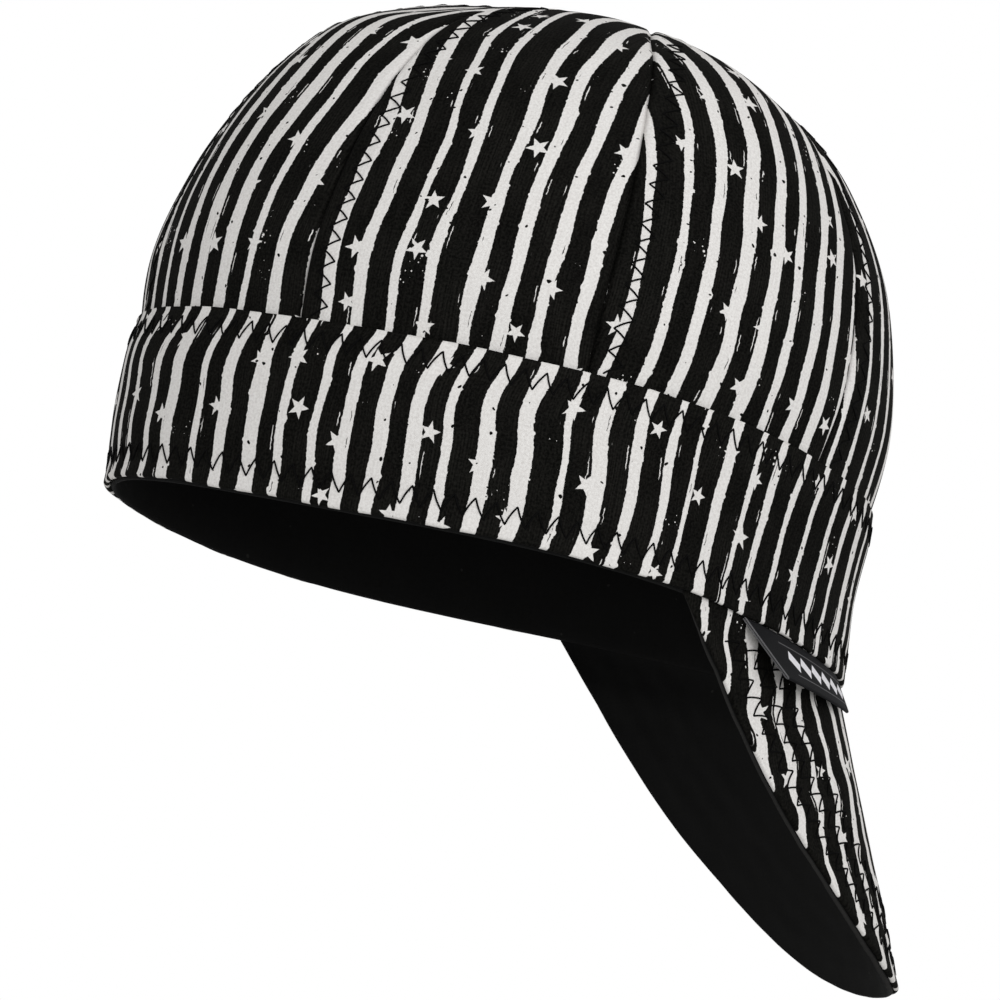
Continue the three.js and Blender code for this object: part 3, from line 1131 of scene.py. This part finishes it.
bill_rims, bill_ways, bill_edges = unroll(bill_surface, bill_depth_at)
bill_outline = bill_rims + bill_edges[::-1]
bill_area = outline_area(bill_outline)


def bill_cut(side, drop):
    place = (side + 1) / 2 * (len(bill_rims) - 1)
    index = min(max(int(place), 0), len(bill_rims) - 2)
    part = place - index
    rim = bill_rims[index].lerp(bill_rims[index + 1], part)
    way = bill_ways[index].lerp(bill_ways[index + 1], part)
    return rim + way * drop


# %% [markdown]
# Rows of zigzag quilt the two layers of the bill together, side by side along its free edge. They draw
# it down in shallow channels, and the cloth between them stands up a little. The top layer wraps round
# the free edge as a soft roll, and the black underside ends against it in a small welt of its own.

# %% The bill's relief and its two layers
bill_columns = 260
bill_rows_inset = (6.7 * mm, 13 * mm, 19.6 * mm)
bill_tuck = 2 * mm
bill_reach = 1.035
bill_turn = 0.86
bill_top_wall = 1.5 * mm
bill_top_short = 0.35 * mm
underside_depth = 1.55 * mm
underside_wall = 1.4 * mm
quilt_draw = 0.3 * mm
relief_start = 6 * mm
pinch_least = 0.1
pinch_end = 13 * mm
bill_cut_place = (300 * mm, 700 * mm)
slope_step = 0.01


def rim_stride(side):
    """The length of rim between one slope step before a place and one after it."""
    return (bill_surface(side + slope_step, 0) - bill_surface(side - slope_step, 0)).length


@functools.lru_cache(maxsize=None)
def edge_slope(side):
    """How steeply the free edge climbs along the bill, as depth for each metre of it."""
    after = bill_depth_at(min(side + slope_step, 1))
    before = bill_depth_at(max(side - slope_step, -1))
    return (after - before) / rim_stride(side)


def from_edge(side, drop):
    """Distance of a place from the free edge, square to it."""
    return (bill_depth_at(side) - drop) / math.hypot(1, edge_slope(side))


def bill_relief(side, drop):
    inset = from_edge(side, drop)
    flat = bill_cut(side, drop)
    place = Vector((flat.x, flat.y, 2.5))
    relief = ripple(place, long=24 * mm, high=0.5 * mm)
    for row in bill_rows_inset:
        relief -= quilt_draw * bump(inset - row, 2.6 * mm)
        relief += ripple(place, long=5 * mm, high=0.2 * mm) * bump(inset - row, 6 * mm)
    relief += ripple(place, long=6 * mm, high=0.25 * mm) * bump(inset, 6 * mm)
    return relief * min(1, max(drop, 0) / relief_start)


def bill_spot(side, drop):
    out = bill_out(side, drop)
    return bill_surface(side, drop) + out * bill_relief(side, drop), out


def ease(share):
    """A soft step from 0 to 1."""
    share = min(max(share, 0), 1)
    return share * share * (3 - 2 * share)


def pinch(drop):
    """The layers are pressed thin where they are caught between the band and the sweatband."""
    return blend(pinch_least, 1, ease((drop - 0.2 * mm) / pinch_end))


def hem_depth(side):
    """The depth of the free edge, which runs straight up behind the band at both ends of the bill."""
    last = bill_reach if side > 0 else 1
    if abs(side) < bill_turn:
        return bill_depth_at(side)
    share = min((abs(side) - bill_turn) / (last - bill_turn), 1)
    return blend(bill_depth_at(bill_turn), 0.1 * mm, share)


def hanging_strip(name, material, top, thickness, short, rows, worn=None):
    """A layer of the bill, its face at a depth under the bill's, that stops short of the free edge."""
    stations = folded_section(thickness, thickness / 2, *rows)

    def drop_of(side, station):
        depth = hem_depth(side)
        depth -= short * min(1, depth / (10 * mm))
        radius = min(thickness / 2, depth * 0.3)
        return station.share * (depth + bill_tuck - radius) - bill_tuck + station.slip * radius

    def spot(column_at, row):
        side = blend(-1, bill_reach, column_at / bill_columns)
        station = stations[row]
        drop = drop_of(side, station)
        lift = bill_relief(side, drop) - (top + station.depth) * pinch(drop)
        return bill_surface(side, drop) + bill_out(side, drop) * lift

    def cut(column_at, row):
        side = blend(-1, bill_reach, column_at / bill_columns)
        station = stations[row]
        past = max(station.travel, 0) if station.share == 1 else 0
        flat = bill_cut(side, drop_of(side, station) - max(station.slip, 0) * thickness / 2 + past)
        creep = edge_ripple(flat.x, (flat.y / (8 * mm), 6.0), long=22 * mm, high=2.2 * mm)
        return flat.x + creep + bill_cut_place[0], flat.y + bill_cut_place[1] + station.depth

    def wear(column_at, row):
        station = stations[row]
        return worn(station) if worn else 0

    last = len(stations) - 1
    piece = cloth(name, bill_columns, last, spot, cut, material, closed=True, worn=wear)
    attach(piece, "root")
    return piece


# %% Hang the bill
def make_bill_top():
    piece = hanging_strip("bill_top_cloth", printed_cotton, top=0, thickness=bill_top_wall,
                          short=bill_top_short, rows=(84, 20, 12))
    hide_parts("bill_top")


def make_bill_underside():
    # The middle of the welt's fold is marked here for the paler grey.
    def lip(station):
        return bump(1 - station.slip, 0.4) if station.share == 1 and station.slip > 0 else 0

    piece = hanging_strip("bill_underside_cloth", black_cotton, top=underside_depth,
                          thickness=underside_wall, short=0, rows=(20, 70, 12), worn=lip)
    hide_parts("bill_underside")


make_bill_top()
make_bill_underside()

# %% [markdown]
# A woven label is a ribbon folded in half and caught under the band, so it hangs as a small flap with a
# fold at its lower edge and two open ends. It is woven tight in black satin, with the motif in white
# thread: a plain row of small diamonds, and a fine pale line along each selvedge.

# %% The label's cloth
label_length = 46 * mm
satin_rib = 0.32
satin_dark = (0.0052, 0.0054, 0.0062, 1)
satin_light = (0.0105, 0.0107, 0.012, 1)
motif_white = (0.9, 0.89, 0.92, 1)
motif_pitch = 6.0
motif_middle = 27.6
motif_height = 6.0
diamond_reach = 2.45
diamond_width = 0.88
border_away = 3.5
border_shade = 0.16


def make_label_material():
    material, tree, shader, cloth_mm = cloth_material("woven_label")
    across, along = parts_of(tree, cloth_mm)
    rib = (along * (2 * math.pi / satin_rib)).math("SINE") * 0.5 + 0.5
    sheen = cloud(tree, vector_of(tree, across * 0.5, along * 4.0), detail=2)
    base = mix_colours(tree, sheen, satin_dark, satin_light)
    aside = across - motif_middle
    beat = aside / motif_pitch
    beside = (beat - beat.math("FLOOR") - 0.5).math("ABSOLUTE") * motif_pitch
    level = (along - motif_height).math("ABSOLUTE")
    run = aside.math("ABSOLUTE").under(motif_pitch * 3)
    motif = (beside * diamond_width + level).under(diamond_reach, 0.12) * run
    border = (level - border_away).math("ABSOLUTE").under(0.12, 0.06) * run * border_shade
    cut_end = across.under(0.4, 0.1) * border_shade
    figure = motif.math("MAXIMUM", border).math("MAXIMUM", cut_end) * (rib * 0.18 + 0.82)
    rough = sheen * 0.15 + figure * 0.1 + 0.55
    paint(tree, shader, mix_colours(tree, figure, base, motif_white), rough, shine=0.07)
    add_bump(tree, shader, rib * 0.5 + figure, 0.06 * mm)
    return material


woven_label = make_label_material()
print("made", woven_label.name)

# %% Fold and hang the label
label_columns = 72
ribbon = 0.34 * mm
fold_at = 0.96
past_fold = 3 * mm
reverse_cut = 20 * mm
label_hang = 12 * mm
label_curl = 0.5 * mm
label_hollow = 0.35 * mm


def label_angle(along, down):
    return blend(label_end, label_start, along) - label_slant * along * down


def label_drop_at(along):
    return blend(label_drop[1], label_drop[0], along)


def label_surface(along, down):
    flare = blend(label_flare[1], label_flare[0], along)
    inset = band_wall - clearance - label_thick
    drop = label_drop_at(along) * down
    return hanging_point(label_angle(along, down), inset, drop, flare, bill_draw_back)


def label_section(rows, fold_rows):
    """Down, depth and way along the ribbon: out and back on its face, then out and back on its reverse."""
    path = []
    middle = label_thick / 2
    downs = [step / rows * fold_at for step in range(rows + 1)]
    for radius, order in ((middle, 1), (middle - ribbon, -1)):
        side = [(down, middle - radius, 0) for down in downs]
        for step in range(1, fold_rows):
            turn = math.pi * step / fold_rows
            down = fold_at + (1 - fold_at) * math.sin(turn)
            side.append((down, middle - radius * math.cos(turn), radius * turn))
        back = [(fold_at - down, middle + radius, past_fold) for down in downs]
        path += (side + back)[::order]
    return path + path[:1]


def make_label():
    stations = label_section(rows=18, fold_rows=8)

    def spot(column_at, row):
        along = column_at / label_columns
        down, depth, travel = stations[row]
        out = way_out(label_surface, along, down, step=0.01, rise=-0.05)
        curl = label_curl * along * down**2 - label_hollow * math.sin(math.pi * along) * down
        return label_surface(along, down) + out * (curl - depth)

    def cut(column_at, row):
        down, depth, travel = stations[row]
        back = reverse_cut if depth > label_thick / 2 else 0
        return (1 - column_at / label_columns) * label_length, down * label_hang + travel + back

    piece = cloth("label_cloth", label_columns, len(stations) - 1, spot, cut, woven_label, closed=True)
    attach(piece, "root")
    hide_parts("label")


make_label()

# %% [markdown]
# A zigzag seam is one thread that jumps from side to side. Every stitch comes up through a needle hole,
# lies on the cloth for a few millimetres and goes down again at the next hole. Each one is a short
# curve with a round section, and a whole row is one curve object, turned into a mesh at the end. A
# texture could draw the line, but a real thread casts the thin shadow that makes it look sewn.

# %% Sew with a zigzag
thread_radius = 0.24 * mm
stitch_bow = 0.3 * mm
stitch_lifts = {0: -0.7, 0.06: 0.2, 0.3: 0.5, 0.5: 0.6, 0.7: 0.5, 0.94: 0.2, 1: -0.7}


def zigzag(count, step, reach, place):
    """Stitches of one row. Place gives a surface point and its way out, from the way along and across."""
    stitches = []
    for index in range(count):
        start = (index * step, reach if index % 2 else -reach)
        end = ((index + 1) * step, -start[1])
        points = []
        for part, lift in stitch_lifts.items():
            bow = stitch_bow * math.sin(math.pi * part)
            spot, out = place(blend(start[0], end[0], part) + bow, blend(start[1], end[1], part))
            points.append(spot + out * (lift * thread_radius))
        stitches.append(points)
    return stitches


def sew(name, stitches):
    curve = bpy.data.curves.new(name, "CURVE")
    curve.dimensions = "3D"
    curve.bevel_depth = thread_radius
    curve.bevel_resolution = 1
    curve.use_fill_caps = True
    for points in stitches:
        spline = curve.splines.new("POLY")
        spline.points.add(len(points) - 1)
        for point, place in zip(spline.points, points):
            point.co = (*place, 1)
    line = bpy.data.objects.new(name + "_line", curve)
    mesh = bpy.data.meshes.new_from_object(line)
    bpy.data.objects.remove(line)
    mesh.name = name
    mesh.materials.append(black_thread)
    for face in mesh.polygons:
        face.use_smooth = True
    piece = place_in_scene(name, mesh)
    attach(piece, "root")
    print(name, "has", len(stitches), "stitches and", len(mesh.polygons), "faces")


# %% Stitches along the crown's seams
seam_step = 2.8 * mm
seam_reach = 2.2 * mm
first_stitch = 1 * mm
bare_tip = 40 * mm


def crown_stitches():
    stitches = []
    for panel in panels:
        foot = panel.middle.length_at(0) + first_stitch
        top = panel.middle.length - bare_tip

        def place(along, across):
            share = panel.middle.share_at(foot + along)
            inset = seam_stitch_inset + across
            return panel_spot(panel, 1 - inset / panel.width_at(share), share)

        stitches += zigzag(int((top - foot) / seam_step), seam_step, seam_reach, place)
    return stitches


sew("crown_thread", crown_stitches())

# %% Stitches along the band and the bill
band_step = 2.62 * mm
band_reach = 2.4 * mm
last_drop = 5 * mm


def band_stitches():
    stitches = []
    for height in band_stitch_heights:
        ruler = Ruler(lambda around: band_surface(around, height / band_height))
        count = 2 * round(ruler.length / band_step / 2)

        def place(along, across):
            return band_spot(ruler.share_at(along) % 1, height + across)

        stitches += zigzag(count, ruler.length / count, band_reach, place)
    return stitches


def bill_stitches():
    stitches = []
    for inset in bill_rows_inset:

        def row_drop(side):
            return bill_depth_at(side) - inset * math.hypot(1, edge_slope(side))

        reach = max(step / 100 for step in range(95) if row_drop(step / 100) > last_drop)
        ruler = Ruler(lambda side: bill_surface(side, row_drop(side)), -reach, reach, 240)
        count = int(ruler.length / band_step)

        def place(along, across):
            side = ruler.share_at(along)
            slope = edge_slope(side)
            run = rim_stride(side) / (2 * slope_step)
            tilt = math.hypot(1, slope)
            return bill_spot(side - across * slope / tilt / run, row_drop(side) + across / tilt)

        stitches += zigzag(count, ruler.length / count, band_reach, place)
    return stitches


sew("band_thread", band_stitches())
sew("bill_thread", bill_stitches())

# %% [markdown]
# The cap is shown held up as a head would hold it, seen from the wearer's left and a little from below,
# through a long lens. The camera stands on a line from the cap at a bearing and a height, rolled a few
# degrees, and is aimed so that the cap sits in the frame without any lens shift.

# %% Camera
camera_distance = 1.4
camera_bearing = math.radians(78.613)
camera_height = math.radians(-8.241)
camera_roll = math.radians(13.867)
lens_pixels = 5416.6
sensor_width = 36
picture_middle = 500
origin_pixel = (476.5, 584.4)


def make_camera():
    bearing, height, roll = camera_bearing, camera_height, camera_roll
    level = math.cos(height)
    back = Vector((math.sin(bearing) * level, -math.cos(bearing) * level, math.sin(height)))
    right = (-back).cross(Vector((0, 0, 1))).normalized()
    up = right.cross(-back)
    right_rolled = right * math.cos(roll) + up * math.sin(roll)
    up_rolled = up * math.cos(roll) - right * math.sin(roll)
    aside = (picture_middle - origin_pixel[0]) / lens_pixels
    above = (origin_pixel[1] - picture_middle) / lens_pixels
    aim = (-back + right_rolled * aside + up_rolled * above).normalized()
    x_axis = aim.cross(up_rolled).normalized()
    y_axis = x_axis.cross(aim)
    data = bpy.data.cameras.new("camera")
    data.sensor_width = sensor_width
    data.lens = sensor_width * lens_pixels / (2 * picture_middle)
    data.clip_start = 0.05
    camera = place_in_scene("camera", data)
    turn = Matrix((x_axis, y_axis, -aim)).transposed().to_4x4()
    camera.matrix_world = Matrix.Translation(back * camera_distance) @ turn
    bpy.context.scene.camera = camera
    print("camera stands at", [round(value, 3) for value in back * camera_distance])


make_camera()

# %% [markdown]
# The studio is plain. A white surround gives even light from everywhere. Two large soft lights on the
# camera's side give the folds some shape, a strong one from above and a weak one from the forehead. A
# pale floor lies well below the cap. It glows for the camera only, so it doesn't show as a grey patch.

# %% Light and floor
floor_height = -1.4
floor_size = 4
surround = 0.54
lit_place = Vector((0, 0, 0.04))


def make_world():
    world = bpy.data.worlds.new("white studio")
    bpy.context.scene.world = world
    world.use_nodes = True
    tree = world.node_tree
    background = tree.nodes["Background"]
    path = tree.nodes.new("ShaderNodeLightPath")
    seen = Wire(tree, path.outputs["Is Camera Ray"])
    plug(tree, background.inputs["Strength"], seen * (1 - surround) + surround)
    background.inputs["Color"].default_value = (1, 1, 1, 1)


def make_light(name, place, size, power):
    data = bpy.data.lights.new(name, "AREA")
    data.shape = "DISK"
    data.size = size
    data.energy = power
    light = place_in_scene(name, data)
    light.location = place
    light.rotation_mode = "QUATERNION"
    light.rotation_quaternion = (lit_place - Vector(place)).to_track_quat("-Z", "Y")


def make_floor():
    material, tree, shader = bare_material("floor")
    shader.inputs["Base Color"].default_value = (0.8, 0.8, 0.79, 1)
    shader.inputs["Roughness"].default_value = 0.9
    shader.inputs["Emission Color"].default_value = (1, 1, 0.99, 1)
    path = tree.nodes.new("ShaderNodeLightPath")
    plug(tree, shader.inputs["Emission Strength"], path.outputs["Is Camera Ray"])
    bm = bmesh.new()
    bmesh.ops.create_grid(bm, x_segments=2, y_segments=2, size=floor_size)
    bmesh.ops.translate(bm, verts=bm.verts, vec=(0, 0, floor_height))
    floor = mesh_in_scene("floor", bm, material)


make_world()
make_light("key", (1.5, 0.45, 0.45), size=1.3, power=10.5)
make_light("fill", (1.2, -0.9, 0.1), size=1.2, power=3)
make_floor()
bpy.context.scene.view_settings.view_transform = "Standard"
print("lit by the surround and two soft lights")
